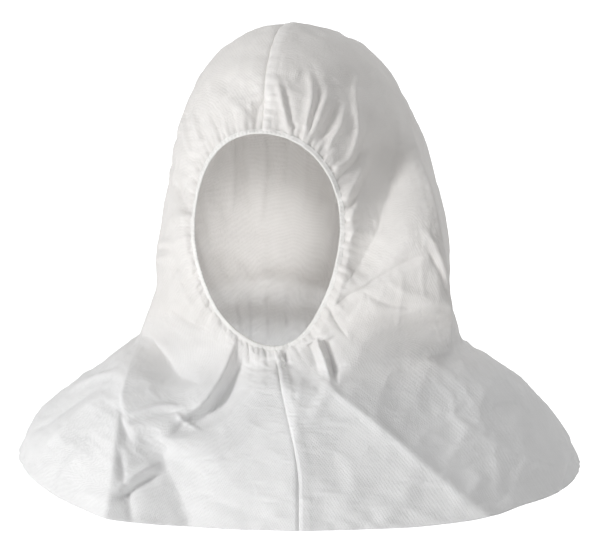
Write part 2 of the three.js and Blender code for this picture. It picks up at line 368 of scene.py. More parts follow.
# Wide folds seen from the front, in millimetres to the right and up from the crown.
WIDE_FOLDS = [
    # the hood hangs out in a flat wing on the wearer's left
    (-26, 18, 36, 1.6, 0.3, 0.25, [(96, -84), (90, -140), (74, -205), (38, -266)]),
    (97, 8, 65, 1.0, 0.5, 0.24, [(106, -90), (122, -150), (133, -205), (141, -260),
                                  (147, -326)]),
    # the middle of the cape lies flat like a bib
    (11, 60, 9, 1.1, 0.15, 0.3, [(-12, -326), (-45, -358), (-72, -386), (-98, -400),
                                 (-130, -410)]),
    (-15, 60, 46, 1.0, 0.25, 0, [(-120, -402), (-132, -427), (-118, -459), (-103, -510)]),
    (19, 40, 66, 1.0, 0.15, 0, [(7, -336), (99, -411), (200, -494)]),
    (9, 50, 50, 1.0, 0.15, 0, [(4, -334), (-4, -407), (-3, -520)]),
    # the hollow between the bib and the shoulder
    (-17, 15, 10, 1.5, 0.4, 0.4, [(-50, -318), (-60, -342), (-80, -374), (-108, -396),
                                  (-134, -404)]),
    (13, 5, 12, 1.2, 0.3, 0.4, [(-60, -306), (-74, -340), (-92, -368), (-122, -390)]),
    (-16, 14, 8, 1.4, 0.3, 0.35, [(-143, -296), (-134, -320), (-118, -342), (-92, -354)]),
    # the wearer's right shoulder
    (43, 58, 40, 1.0, 0.25, 0, [(-147, -296), (-166, -345), (-174, -388), (-180, -437),
                                (-190, -495)]),
]
# Narrow folds, in the same measures.
FRONT_FOLDS = [
    # wide folds on the wearer's left side of the hood
    (-5, 6, 4, 1.1, 0.15, 0.2, [(30, -279), (68, -256), (102, -236), (126, -224)]),
    (-3.5, 3, 3, 1.1, 0.3, 0.3, [(25, -268), (34, -288), (50, -309)]),
    (3.5, 3, 4, 1.0, 0.3, 0.3, [(114, -196), (128, -221), (141, -258)]),
    (-3.5, 3, 3, 1.0, 0.3, 0.3, [(118, -215), (133, -245), (145, -278)]),
    (-3, 4, 3, 1.1, 0.3, 0.3, [(60, -262), (88, -275), (120, -276)]),
    (2, 6, 5, 1.2, 0.3, 0.3, [(78, -245), (100, -262), (128, -268)]),
    # the wearer's right side of the hood
    (-5.5, 8, 5, 1.3, 0.3, 0.3, [(-124, -146), (-119, -165), (-106, -190)]),
    (3.5, 4, 5, 1.2, 0.3, 0.3, [(-142, -217), (-128, -214), (-117, -217)]),
    (-3.5, 3, 3, 1.1, 0.3, 0.3, [(-142, -224), (-129, -220), (-118, -223)]),
    (3.5, 3, 3, 1.1, 0.3, 0.3, [(-142, -231), (-128, -227), (-119, -230)]),
    (-4, 6, 4, 1.1, 0.3, 0.3, [(-120, -276), (-104, -291), (-83, -303)]),
    (3.5, 5, 6, 1.1, 0.3, 0.3, [(-130, -284), (-112, -300), (-90, -314)]),
    (3, 5, 5, 1.2, 0.3, 0.3, [(-118, -236), (-108, -262), (-96, -282)]),
    # gathers above the face opening
    (-7, 5, 9, 1.2, 0, 0.4, [(-43, -101), (-39, -80), (-26, -68)]),
    (6.5, 3.5, 10, 1.1, 0, 0.5, [(-11, -101), (-17, -74), (-24, -46)]),
    (-4, 5, 3, 1.3, 0, 0.5, [(-5, -101), (-11, -74), (-16, -50)]),
    (6.5, 3.5, 8, 1.1, 0, 0.6, [(6, -100), (12, -70), (8, -40)]),
    (-4, 4, 3, 1.2, 0, 0.5, [(11, -103), (18, -76), (19, -52)]),
    (5.5, 4, 5, 1.1, 0, 0.6, [(14, -104), (24, -78), (31, -52)]),
    (5, 3, 5, 1.1, 0, 0.5, [(29, -119), (39, -99), (44, -74)]),
    (-4, 4, 3, 1.2, 0, 0.5, [(24, -111), (33, -90), (39, -66)]),
    # and beside it, on the wearer's left
    (7, 4, 7, 1.1, 0, 0.5, [(36, -141), (49, -130), (56, -104), (54, -75), (57, -40)]),
    (-4, 4, 4, 1.2, 0, 0.5, [(38, -150), (58, -131), (66, -104), (66, -75)]),
    (6.5, 5, 9, 1.1, 0, 0.6, [(41, -178), (56, -151), (72, -112)]),
    (-4, 5, 5, 1.2, 0, 0.5, [(43, -190), (62, -160), (78, -122)]),
    (4, 4, 5, 1.1, 0, 0.6, [(42, -205), (54, -181), (66, -160)]),
    (3, 3, 4, 1.1, 0, 0.6, [(40, -224), (52, -206), (62, -192)]),
    (3, 3, 3, 1.1, 0, 0.6, [(-105, -126), (-112, -104), (-112, -84)]),
    (2.5, 3, 3, 1.1, 0, 0.6, [(-96, -114), (-102, -92), (-100, -74)]),
    # tucks under the chin
    (4, 4, 3, 1.1, 0.1, 0.4, [(-45, -310), (-42, -334)]),
    (-5, 3, 3, 1.1, 0.1, 0.4, [(-51, -310), (-48, -334)]),
    (-7, 3, 4, 1.1, 0.1, 0.4, [(-9, -310), (-16, -334)]),
    (5.5, 3, 3, 1.1, 0.1, 0.4, [(-15, -310), (-22, -330)]),
    (7.5, 2.5, 4, 1.0, 0.1, 0.4, [(17, -306), (25, -327), (32, -354)]),
    (-8.5, 4, 4, 1.2, 0.1, 0.4, [(24, -308), (31, -327), (39, -354)]),
    (-5.5, 6, 5, 1.4, 0.1, 0.4, [(8, -312), (15, -327), (20, -345)]),
    # the hollow between the bib and the shoulder
    (-5, 4, 3, 1.1, 0.3, 0.3, [(-124, -402), (-108, -386), (-94, -370)]),
    (4, 3, 3, 1.1, 0.3, 0.3, [(-120, -380), (-106, -392), (-92, -399)]),
    # the wearer's right shoulder
    (-5.5, 4, 6, 1.1, 0.3, 0.3, [(-172, -360), (-170, -390), (-159, -412)]),
    (5, 3, 4, 1.1, 0.3, 0.3, [(-166, -384), (-140, -375), (-114, -372)]),
    (-5, 5, 3, 1.1, 0.3, 0.3, [(-166, -390), (-140, -382), (-112, -378)]),
    (9, 4, 5, 1.1, 0.3, 0.3, [(-182, -459), (-156, -441), (-131, -428)]),
    (-8, 5, 5, 1.1, 0.3, 0.3, [(-180, -467), (-154, -449), (-130, -437)]),
    (-4, 4, 4, 1.2, 0.3, 0.2, [(-176, -400), (-170, -440), (-160, -495)]),
    (3.5, 4, 5, 1.1, 0.3, 0.3, [(-172, -338), (-206, -350), (-232, -366)]),
    (4, 7, 7, 1.2, 0.3, 0.3, [(-180, -356), (-212, -380), (-252, -420)]),
    (-3.5, 5, 5, 1.2, 0.3, 0.3, [(-188, -352), (-222, -374), (-262, -404)]),
    (4, 8, 8, 1.3, 0.3, 0.05, [(-200, -400), (-226, -440), (-240, -480)]),
    # the wearer's left shoulder
    (7, 26, 26, 1.5, 0.3, 0.3, [(96, -320), (150, -346), (208, -376)]),
    (4, 14, 20, 1.4, 0.3, 0.05, [(130, -370), (190, -412), (262, -440)]),
]
# Folds of the back of the hood and cape, in the same measures, as if seen through the front.
BACK_FOLDS = [
    (-4, 5, 7, 1.3, 0.3, 0.3, [(-68, -96), (-66, -140), (-67, -190)]),
    (3, 6, 5, 1.3, 0.3, 0.3, [(-52, -88), (-50, -130), (-44, -172)]),
    (-3.5, 5, 5, 1.3, 0.3, 0.3, [(-36, -100), (-34, -140), (-40, -205)]),
    (4, 5, 5, 1.3, 0.3, 0.3, [(-12, -92), (-8, -130), (-12, -170)]),
    (-4, 4, 6, 1.3, 0.3, 0.3, [(4, -100), (6, -150), (2, -196)]),
    (4, 5, 5, 1.3, 0.3, 0.3, [(20, -94), (22, -140), (16, -190)]),
    (-4, 6, 6, 1.4, 0.3, 0.3, [(38, -110), (36, -170), (30, -240)]),
    (3, 6, 6, 1.4, 0.3, 0.3, [(-88, -110), (-92, -160), (-84, -220)]),
    (-6, 12, 12, 1.6, 0.25, 0.25, [(-104, -262), (-40, -250), (20, -258), (60, -276)]),
    (5, 10, 14, 1.6, 0.25, 0.25, [(-116, -284), (-44, -274), (24, -282), (84, -292)]),
    (-5, 6, 5, 1.3, 0.2, 0.1, [(-62, -262), (-60, -300), (-66, -352)]),
    (5, 5, 5, 1.3, 0.2, 0.1, [(-48, -258), (-46, -300), (-48, -356)]),
    (-5, 5, 5, 1.3, 0.2, 0.1, [(-32, -256), (-30, -300), (-26, -360)]),
    (5, 5, 6, 1.3, 0.2, 0.1, [(-14, -258), (-12, -300), (-6, -352)]),
    (-4, 6, 5, 1.3, 0.2, 0.1, [(6, -262), (8, -300), (16, -350)]),
    (10, 26, 20, 1.6, 0.3, 0, [(-86, -300), (-118, -370), (-150, -470)]),
    (-8, 20, 20, 1.7, 0.3, 0, [(-58, -310), (-74, -380), (-92, -480)]),
    (9, 22, 26, 1.6, 0.3, 0, [(-18, -316), (-24, -390), (-28, -490)]),
    (-9, 20, 22, 1.7, 0.3, 0, [(24, -316), (34, -390), (46, -490)]),
    (11, 24, 22, 1.6, 0.3, 0, [(66, -306), (92, -380), (118, -480)]),
    (-7, 18, 20, 1.7, 0.3, 0, [(110, -300), (150, -370), (190, -450)]),
    (6, 20, 20, 1.6, 0.3, 0, [(-132, -304), (-190, -372), (-236, -440)]),
]
# Round swellings and dents: rise, radius and place.
SWELLINGS = [
    (12, 34, (-128, -288)),
    (-12, 21, (-128, -338)),
    (5, 30, (-100, -215)),
]


def swelling_heights(places, facing):
    height = np.zeros(places.shape[:-1])
    for rise, radius, place in SWELLINGS:
        away = np.linalg.norm(places - np.array(place), axis=-1)
        height += rise * np.exp(-(away / radius) ** 2)
    return height * facing * mm


def along(points, axis):
    """Length of cloth passed along the rows or columns of a grid."""
    steps = np.linalg.norm(np.diff(points, axis=axis), axis=-1)
    total = np.cumsum(steps, axis=axis)
    first = np.zeros_like(np.take(total, [0], axis=axis))
    return np.concatenate([first, total], axis=axis)


def unevenness(points, size, rise):
    """Soft bumps and dents of handled cloth, about this size and this high."""
    flat = points.reshape(-1, 3) / size
    values = [noise.noise(Vector(spot), noise_basis="PERLIN_ORIGINAL") for spot in flat]
    return rise * np.array(values).reshape(points.shape[:-1])


EDGE_ON, FACING_FADE = 0.02, 0.35  # folds fade out where the cloth turns away
LEAN = 0.7  # how far narrow folds lean towards the viewer
BUMP_SIZE, BUMP_RISE = 75 * mm, 2.2 * mm
CREASE_SIZE, CREASE_RISE, CREASE_SHARPNESS = 30 * mm, 1.6 * mm, 0.8
FLAT_EDGE = 11 * mm  # the folds die down this near to the opening


def lay_folds(points):
    normals = grid_normals(points)
    places = seen_from_front(points)
    toward = normals @ np.array(toward_viewer)
    front = smooth((toward - EDGE_ON) / FACING_FADE)
    back = smooth((-toward - EDGE_ON) / FACING_FADE)
    outward = normals + LEAN * np.array(toward_viewer) * front[..., None]
    outward /= np.linalg.norm(outward, axis=-1, keepdims=True)
    wide = fold_heights(places, front, WIDE_FOLDS)
    height = fold_heights(places, front, FRONT_FOLDS) + swelling_heights(places, front)
    height += fold_heights(places, back, BACK_FOLDS)
    height += unevenness(points, BUMP_SIZE, BUMP_RISE)
    creases = unevenness(points, CREASE_SIZE, 1)
    height += (0.5 - np.abs(creases) ** CREASE_SHARPNESS) * CREASE_RISE
    at_edge = 0.3 + 0.7 * smooth(along(points, 0) / FLAT_EDGE)
    height *= at_edge
    wide *= at_edge
    return points + outward * height[..., None] + np.array(toward_viewer) * wide[..., None]


def doubled_grid(values, axis, wraps):
    """A grid with a smooth row between each two rows."""
    values = np.moveaxis(values, axis, 0)
    if wraps:
        padded = np.concatenate([values[-2:-1], values, values[1:2]])
    else:
        padded = np.concatenate([2 * values[:1] - values[1:2], values,
                                 2 * values[-1:] - values[-2:-1]])
    between_rows = (9 * (padded[1:-2] + padded[2:-1]) - padded[:-3] - padded[3:]) / 16
    result = np.empty((2 * len(values) - 1,) + values.shape[1:])
    result[::2] = values
    result[1::2] = between_rows
    return np.moveaxis(result, 0, axis)


# How firmly the cloth is held where it was laid: anywhere, and more so near its edges and seams
HELD_ANYWHERE = 0.06
HELD_AT_SEAM, NEAR_SEAM = 0.5, 8 * mm
HELD_AT_OPENING, NEAR_OPENING = 0.9, 5 * mm
HELD_AT_HEM, NEAR_HEM = 0.3, 10 * mm
DRAWN_IN_REACH = 30 * mm
SETTLING_COLUMNS = 150
SETTLING_STEPS = 18
MOST_SETTLING = 9 * mm
SPUNBONDED = {
    "quality": 5, "mass": 0.15, "air_damping": 4,
    "tension_stiffness": 25, "compression_stiffness": 25, "shear_stiffness": 8,
    "bending_stiffness": 0.08, "vertex_group_mass": "held", "pin_stiffness": 2,
    "vertex_group_shrink": "drawn in", "shrink_min": -0.009, "shrink_max": -0.06,
}


def settle(points, turns):
    """Let the cloth find its own small folds: it is a little too long everywhere, most of all
    where the elastic draws it in, and it is held where it was laid."""
    even = np.linspace(-1, 1, 2 * SETTLING_COLUMNS + 1) * math.pi
    chosen = [int(np.argmin(np.abs(turns - turn))) for turn in even[::2]]
    coarse = points[::2][:, chosen[:-1]]
    rows, columns = coarse.shape[:2]
    index = np.arange(rows * columns).reshape(rows, columns)
    index = np.hstack([index, index[:, :1]])
    faces = np.stack([index[:-1, :-1], index[:-1, 1:], index[1:, 1:], index[1:, :-1]], -1)
    mesh = bpy.data.meshes.new("settling_cloth")
    mesh.from_pydata(coarse.reshape(-1, 3).tolist(), [], faces.reshape(-1, 4).tolist())
    piece = bpy.data.objects.new("settling_cloth", mesh)
    bpy.context.scene.collection.objects.link(piece)

    down = along(coarse, 0)
    across = along(np.concatenate([coarse, coarse[:, :1]], 1), 1)
    middle = columns // 2
    from_seam = np.minimum(np.abs(across - across[:, middle:middle + 1]),
                           np.minimum(across, across[:, -1:] - across))[:, :-1]
    from_hem = down[-1:] - down
    held = HELD_ANYWHERE + HELD_AT_SEAM * np.exp(-from_seam / NEAR_SEAM)
    held += HELD_AT_OPENING * np.exp(-down / NEAR_OPENING)
    held += HELD_AT_HEM * np.exp(-from_hem / NEAR_HEM)
    drawn_in = np.exp(-down / DRAWN_IN_REACH)
    for name, weights in (("held", np.clip(held, 0, 1)), ("drawn in", drawn_in)):
        group = piece.vertex_groups.new(name=name)
        for i, weight in enumerate(weights.ravel()):
            group.add([i], float(weight), "REPLACE")
    cloth = piece.modifiers.new("cloth", "CLOTH").settings
    for setting, value in SPUNBONDED.items():
        setattr(cloth, setting, value)
    cloth.effector_weights.gravity = 0
    piece.modifiers["cloth"].collision_settings.use_collision = False
    scene = bpy.context.scene
    for step in range(1, SETTLING_STEPS + 1):
        scene.frame_set(step)
    result = piece.evaluated_get(bpy.context.evaluated_depsgraph_get()).data
    moved = np.empty(rows * columns * 3)
    result.vertices.foreach_get("co", moved)
    scene.frame_set(1)
    bpy.data.objects.remove(piece)
    shift = moved.reshape(coarse.shape) - coarse
    size = np.linalg.norm(shift, axis=-1, keepdims=True)
    shift *= np.tanh(size / MOST_SETTLING) * MOST_SETTLING / (size + 1e-9)
    shift = np.concatenate([shift, shift[:, :1]], 1)
    shift = doubled_grid(doubled_grid(shift, 0, False), 1, True)
    shift = np.stack([[np.interp(turns, even, row[:, i]) for i in range(3)] for row in shift])
    return points + np.moveaxis(shift, 1, 2)


GATHER_PITCH, GATHER_RISE, GATHER_REACH = 6.3 * mm, 0.9 * mm, 9 * mm
WIDE_GATHER_PITCH, WIDE_GATHER_RISE, WIDE_GATHER_REACH = 17 * mm, 1.4 * mm, 26 * mm
PUCKER_PITCH, PUCKER_RISE, PUCKER_LENGTH = 8.6 * mm, 0.9 * mm, 18 * mm


def gather(points):
    """Fine gathers where the elastic draws the cloth in, and puckers beside the seams."""
    normals = grid_normals(points)
    down = along(points, 0)
    front = len(points[0]) // 2
    across = along(points, 1)
    from_front = across - across[:, front:front + 1]
    round_opening = from_front[0]
    drift = np.sin(round_opening / 0.031) + np.sin(round_opening / 0.0127 + 1) * 0.6
    fine = np.sin(round_opening / GATHER_PITCH * 2 * math.pi + 2.2 * drift)
    wide = np.sin(round_opening / WIDE_GATHER_PITCH * 2 * math.pi + 1.6 * drift + 0.7)
    reach = GATHER_REACH * (1.25 + 0.6 * np.sin(round_opening / 0.0113)
                            * np.sin(round_opening / 0.029))
    start = 0.15 + 0.85 * smooth(down / (6 * mm))
    height = GATHER_RISE * fine * start * np.exp(-down / reach)
    height += WIDE_GATHER_RISE * wide * start * np.exp(-down / WIDE_GATHER_REACH)
    from_crown = across[:, -1:] - across
    beside = np.minimum(from_crown, across)
    run = down[:, :1]
    puckers = np.sin(run / PUCKER_PITCH * 2 * math.pi + 1.5 * np.sin(run / 0.021))
    length = PUCKER_LENGTH * (1 + 0.7 * np.sin(run / 0.0173))
    side = np.where(from_crown < across, 1.0, 0.4)
    height += PUCKER_RISE * side * puckers * np.exp(-beside / length) * smooth(beside / (3 * mm))
    return points + normals * height[..., None]


turns = np.concatenate([-panel_turns()[:0:-1], panel_turns()])
shares = np.linspace(0, 1, ROWS + 1) ** ROW_CROWDING
folded = lay_folds(cloth_grid(turns, shares))
folded = settle(folded, turns)
cloth_points = gather(folded)
FRONT = len(turns) // 2

# The allowances of both panels lie under the wearer's left panel. Each is a line of places
# across the seam: how far to the left of it, and how deep inside, from the sewn edge outwards.
CLOTH = 0.4 * mm
SEAM_DIP = 1.1 * mm
PROUD = 0.7 * mm  # how far the cloth stands up over the allowances
LEFT_TURN_IN = [(0.4, 1.55), (1.1, 1.85), (2.6, 1.9), (5.2, 1.9), (8, 1.9)]
RIGHT_TURN_IN = [(-0.05, 1.7), (0.35, 2.15), (1.3, 2.3), (2.7, 2.3), (5.3, 2.3), (8, 2.3)]


def seam_frame(column, left):
    """Along one seam: places, directions towards the left panel and outwards, and length."""
    place = folded[:, column]
    step = folded[:, left] - place
    normal = grid_normals(folded)[:, column]
    step -= normal * np.sum(step * normal, -1, keepdims=True)
    step /= np.linalg.norm(step, axis=-1, keepdims=True)
    return place, step, normal, along(place, 0)


FRONT_SEAM = seam_frame(FRONT, FRONT + 3)
CROWN_SEAM = seam_frame(-1, -4)


def turned_in(seam, places):
    place, step, normal, run = seam
    begin = 0.3 + 0.7 * smooth(run / (6 * mm))[:, None]
    columns = [place + begin * (step * t - normal * depth) * mm for t, depth in places]
    return np.stack(columns, 1)


def dipped(points):
    """The cloth rolls in at each seam, and stands a little proud over the allowances."""
    normals = grid_normals(points)
    across = along(points, 1)
    from_front = across - across[:, FRONT:FRONT + 1]
    from_crown = np.minimum(across, across[:, -1:] - across)
    beside = np.minimum(np.abs(from_front), from_crown)
    covered = np.where(np.abs(from_front) < from_crown, from_front > 0, across > across[:, -1:] / 2)
    begin = smooth(along(points, 0) / (6 * mm))
    proud = smooth(beside / (2.5 * mm)) * (1 - smooth((beside - 7.5 * mm) / (4 * mm))) * covered
    height = PROUD * proud - SEAM_DIP * np.exp(-(beside / (1.6 * mm)) ** 2)
    return points + normals * (height * begin)[..., None], proud


cloth_points, doubled = dipped(cloth_points)
down_cloth = along(cloth_points, 0)
across_cloth = along(cloth_points, 1)
across_cloth = across_cloth - across_cloth[:, FRONT:FRONT + 1]


def panel_mesh(name, columns, first, last):
    """One panel: its turned-in edge along the chest, its face, and its turned-in crown edge."""
    face = cloth_points[:, columns]
    points = np.concatenate([first, face, last], 1)
    pad = ((0, 0), (first.shape[1], last.shape[1]))
    across = np.pad(across_cloth[:, columns], pad, mode="edge")
    down = np.pad(down_cloth[:, columns], pad, mode="edge")
    double = np.pad(doubled[:, columns], pad)
    rows, width = points.shape[:2]
    index = np.arange(rows * width).reshape(rows, width)
    faces = np.stack([index[:-1, :-1], index[:-1, 1:], index[1:, 1:], index[1:, :-1]], -1)
    faces = faces.reshape(-1, 4)
    mesh = bpy.data.meshes.new(name)
    mesh.from_pydata(points.reshape(-1, 3).tolist(), [], faces.tolist())
    mesh.polygons.foreach_set("use_smooth", [True] * len(faces))
    spots = np.stack([across.ravel(), down.ravel()], -1)
    mesh.uv_layers.new(name="cut").data.foreach_set("uv", spots[faces.ravel()].ravel())
    layer = mesh.attributes.new("doubled", "FLOAT", "POINT")
    layer.data.foreach_set("value", double.ravel())
    piece = bpy.data.objects.new(name, mesh)
    bpy.context.scene.collection.objects.link(piece)
    body = piece.modifiers.new("cloth thickness", "SOLIDIFY")
    body.thickness = CLOTH
    body.offset = -1
    return piece


class Nodes:
    """Short ways to add and join the nodes of one material."""

    def __init__(self, name):
        self.material = bpy.data.materials.new(name)
        self.material.use_nodes = True
        self.tree = self.material.node_tree
        self.shader = self.tree.nodes["Principled BSDF"]

    def add(self, kind, **values):
        node = self.tree.nodes.new("ShaderNode" + kind)
        for key, value in values.items():
            if hasattr(node, key):
                setattr(node, key, value)
            else:
                node.inputs[key.replace("_", " ")].default_value = value
        return node

    def join(self, source, target):
        self.tree.links.new(source, target)

    def math(self, operation, first, second=None):
        node = self.add("Math", operation=operation)
        for socket, value in zip(node.inputs, (first, second)):
            if isinstance(value, (int, float)):
                socket.default_value = value
            elif value is not None:
                self.join(value, socket)
        return node.outputs[0]

    def two_tone(self, share, dark, light):
        node = self.add("MixRGB")
        node.inputs["Color1"].default_value = (*dark, 1)
        node.inputs["Color2"].default_value = (*light, 1)
        self.join(share, node.inputs["Fac"])
        self.join(node.outputs[0], self.shader.inputs["Base Color"])

    def bump(self, height, distance, strength, below=None):
        node = self.add("Bump", Distance=distance, Strength=strength)
        self.join(height, node.inputs["Height"])
        if below is not None:
            self.join(below, node.inputs["Normal"])
        return node.outputs["Normal"]


DOTS_PER_METRE = (560, 400, 1)
DOT_SLANT = math.radians(38)
DOT_INNER, DOT_OUTER = 0.2, 0.42  # of the space between dots
# Painted light and shade: the hood is painted darker than the cape, though both are one cloth, so
# that the cape looks more brightly lit. The hood is also painted a little warmer.
CAPE_PAINTED_LIGHT_AND_TONE_FROM, HOOD_PAINTED_SHADE_AND_TONE_FROM = -0.34, -0.27  # heights between which one tone fades into the other
HOOD_PAINTED_SHADE = 0.035
WARM_GREEN, WARM_BLUE = 0.022, 0.045  # how much less of these the hood shows


def spunbonded_cloth():
    """White spun-bonded fibres, matt, pressed in a close slanting pattern of small dots."""
    make = Nodes("spunbonded_cloth")
    cut = make.add("UVMap", uv_map="cut").outputs["UV"]
    place = make.add("TexCoord").outputs["Object"]
    slant = make.add("Mapping", Rotation=(0, 0, DOT_SLANT), Scale=DOTS_PER_METRE)
    make.join(cut, slant.inputs["Vector"])
    cell = make.add("VectorMath", operation="FRACTION")
    make.join(slant.outputs[0], cell.inputs[0])
    middle = make.add("VectorMath", operation="DISTANCE")
    middle.inputs[1].default_value = (0.5, 0.5, 0)
    make.join(cell.outputs[0], middle.inputs[0])
    dots = make.add("MapRange", interpolation_type="SMOOTHSTEP")
    dots.inputs["From Min"].default_value = DOT_INNER
    dots.inputs["From Max"].default_value = DOT_OUTER
    make.join(middle.outputs["Value"], dots.inputs["Value"])

    def speckle(scale, detail, distortion=0.0):
        node = make.add("TexNoise", Scale=scale, Detail=detail, Distortion=distortion)
        make.join(place, node.inputs["Vector"])
        return node.outputs["Fac"]

    fibres = speckle(1400, 4, 0.8)
    clouds = speckle(42, 4, 0.3)
    wrinkles = speckle(120, 3, 1.2)
    normal = make.bump(wrinkles, 0.0016, 0.35)
    normal = make.bump(fibres, 0.0002, 0.5, normal)
    normal = make.bump(dots.outputs[0], 0.0002, 0.6, normal)
    make.join(normal, make.shader.inputs["Normal"])

    whiteness = make.math("MULTIPLY", clouds, 0.10)
    whiteness = make.math("ADD", whiteness, make.math("MULTIPLY", fibres, 0.07))
    whiteness = make.math("ADD", whiteness, make.math("MULTIPLY", dots.outputs[0], 0.03))
    double = make.add("Attribute", attribute_name="doubled").outputs["Fac"]
    whiteness = make.math("ADD", whiteness, make.math("MULTIPLY", double, 0.12))
    whiteness = make.math("ADD", whiteness, 0.80)
    split = make.add("SeparateXYZ")
    make.join(place, split.inputs[0])
    on_hood = make.add("MapRange")
    on_hood.inputs["From Min"].default_value = CAPE_PAINTED_LIGHT_AND_TONE_FROM
    on_hood.inputs["From Max"].default_value = HOOD_PAINTED_SHADE_AND_TONE_FROM
    make.join(split.outputs["Z"], on_hood.inputs["Value"])
    # painted shade: the hood's whiteness is lowered by this much against the cape's
    painted_hood_shade = make.math("MULTIPLY", on_hood.outputs[0], HOOD_PAINTED_SHADE)
    whiteness = make.math("SUBTRACT", whiteness, painted_hood_shade)
    colour = make.add("CombineColor")
    make.join(whiteness, colour.inputs["Red"])
    warm = make.math("MULTIPLY", on_hood.outputs[0], WARM_GREEN)
    make.join(make.math("SUBTRACT", whiteness, warm), colour.inputs["Green"])
    warm = make.math("MULTIPLY", on_hood.outputs[0], WARM_BLUE)
    make.join(make.math("SUBTRACT", whiteness, warm), colour.inputs["Blue"])
    make.join(colour.outputs[0], make.shader.inputs["Base Color"])
    make.join(make.math("ADD", make.math("MULTIPLY", clouds, 0.2), 0.62),
              make.shader.inputs["Roughness"])
    make.shader.inputs["Specular IOR Level"].default_value = 0.35
    make.shader.inputs["Subsurface Weight"].default_value = 0.15
    make.shader.inputs["Subsurface Radius"].default_value = (1, 1, 1)
    make.shader.inputs["Subsurface Scale"].default_value = 1.2 * mm
    make.shader.inputs["Sheen Weight"].default_value = 0.15
    make.shader.inputs["Sheen Roughness"].default_value = 0.5
    return make.material


CLOTH_FINISH = spunbonded_cloth()

left_panel = panel_mesh("left_cloth_panel", slice(FRONT, None),
                        turned_in(FRONT_SEAM, LEFT_TURN_IN[::-1]),
                        turned_in(CROWN_SEAM, LEFT_TURN_IN))
right_panel = panel_mesh("right_cloth_panel", slice(0, FRONT + 1),
                         turned_in(CROWN_SEAM, RIGHT_TURN_IN[::-1]),
                         turned_in(FRONT_SEAM, RIGHT_TURN_IN))
for panel, node in ((left_panel, "left_panel"), (right_panel, "right_panel")):
    panel.data.materials.append(CLOTH_FINISH)
    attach(panel, "root")
    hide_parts(node)


# ---- Overlock stitching of the two seams ----
# Three polyester threads hold each seam: the needle thread sews the two panels together, and
# the two looper threads wrap their raw edges. One seam runs from the face opening over the
# crown and down the back, the other from the chin to the hem.
THREAD = 0.34 * mm
OVERLOCK_STITCH = 3.0 * mm
NEEDLE_LINE = 2.6  # millimetres from the seam
FIRST_STITCH, LAST_STITCH = 7 * mm, 2 * mm  # from the two ends of a seam


def picked(run, length, values):
    """Values read off at these lengths along a line."""
    return np.stack([np.interp(run, length, values[:, i]) for i in range(3)], -1)


def at_seam(seam, run, across, depth):
    place, step, normal, length = seam
    return (picked(run, length, place) + picked(run, length, step) * across[:, None]
            - picked(run, length, normal) * depth[:, None])


def stitched(seam, stitch, pattern):
    """A thread that repeats one stitch: places along it, across the seam and in depth."""
    count = int((seam[3][-1] - FIRST_STITCH - LAST_STITCH) / stitch)
    pattern = np.array(pattern)
    run = FIRST_STITCH + (np.arange(count)[:, None] + pattern[:, 0]) * stitch
    across = np.broadcast_to(pattern[:, 1] * mm, run.shape)
    depth = np.broadcast_to(pattern[:, 2] * mm, run.shape)
    return at_seam(seam, run.ravel(), across.ravel(), depth.ravel())


def thread(name, points, diameter=THREAD, closed=False):
    curve = bpy.data.curves.new(name, "CURVE")
    curve.dimensions = "3D"
    curve.bevel_depth = diameter / 2
    curve.bevel_resolution = 1
    curve.use_fill_caps = not closed
    spline = curve.splines.new("POLY")
    spline.points.add(len(points) - 1)
    spline.points.foreach_set("co", np.c_[points, np.ones(len(points))].ravel())
    spline.use_cyclic_u = closed
    piece = bpy.data.objects.new(name, curve)
    bpy.context.scene.collection.objects.link(piece)
    return piece


def spun_thread():
    """White spun polyester, two strands twisted together."""
    make = Nodes("spun_thread")
    place = make.add("TexCoord").outputs["Object"]
    strands = make.add("TexWave", Scale=900.0, Distortion=2.0, Detail=2.0)
    strands.bands_direction = "DIAGONAL"
    make.join(place, strands.inputs["Vector"])
    make.join(make.bump(strands.outputs["Fac"], 0.0001, 0.6), make.shader.inputs["Normal"])
    make.two_tone(strands.outputs["Fac"], (0.80, 0.79, 0.77), (0.90, 0.90, 0.89))
    make.shader.inputs["Roughness"].default_value = 0.5
    make.shader.inputs["Sheen Weight"].default_value = 0.3
    return make.material


THREAD_FINISH = spun_thread()
NEEDLE = [(0.05, NEEDLE_LINE, 1.3), (0.1, NEEDLE_LINE, 2.85), (0.5, NEEDLE_LINE, 2.95),
          (0.9, NEEDLE_LINE, 2.85), (0.95, NEEDLE_LINE, 1.3)]
UPPER_LOOPER = [(0.0, 8.5, 2.1), (0.12, 7.9, 2.95), (0.5, NEEDLE_LINE + 0.4, 3.1),
                (0.88, 7.9, 2.95)]
LOWER_LOOPER = [(0.5, 8.5, 2.1), (0.62, 7.9, 1.3), (1.0, NEEDLE_LINE + 0.4, 1.2),
                (1.38, 7.9, 1.3)]
for seam_name, seam in (("crown_seam", CROWN_SEAM), ("front_seam", FRONT_SEAM)):
    for thread_name, pattern in (("needle_thread", NEEDLE), ("upper_looper_thread", UPPER_LOOPER),
                                 ("lower_looper_thread", LOWER_LOOPER)):
        node = f"{seam_name}_{thread_name}"
        piece = thread(f"{node}_stitches", stitched(seam, OVERLOCK_STITCH, pattern))
        piece.data.materials.append(THREAD_FINISH)
        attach(piece, "root")
        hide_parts(node)


# ---- Binding of the face opening ----
# A narrow tape of the same cloth, folded over the raw edge of the opening with the elastic
# inside the fold, and sewn through. It ripples where the relaxed elastic draws it in.
BINDING_CLOTH = 0.3 * mm
BINDING_SECTION = [(3.6, 0.5), (2.7, 0.52), (1.7, 0.62), (0.6, 0.95), (-0.5, 1.02), (-1.3, 0.7),
                   (-1.65, 0.0), (-1.3, -0.7), (-0.5, -1.02), (0.6, -0.95), (1.7, -0.8),
                   (2.7, -0.75), (3.6, -0.75)]
RIPPLE_PITCH = 3.9 * mm
STATIONS = 620


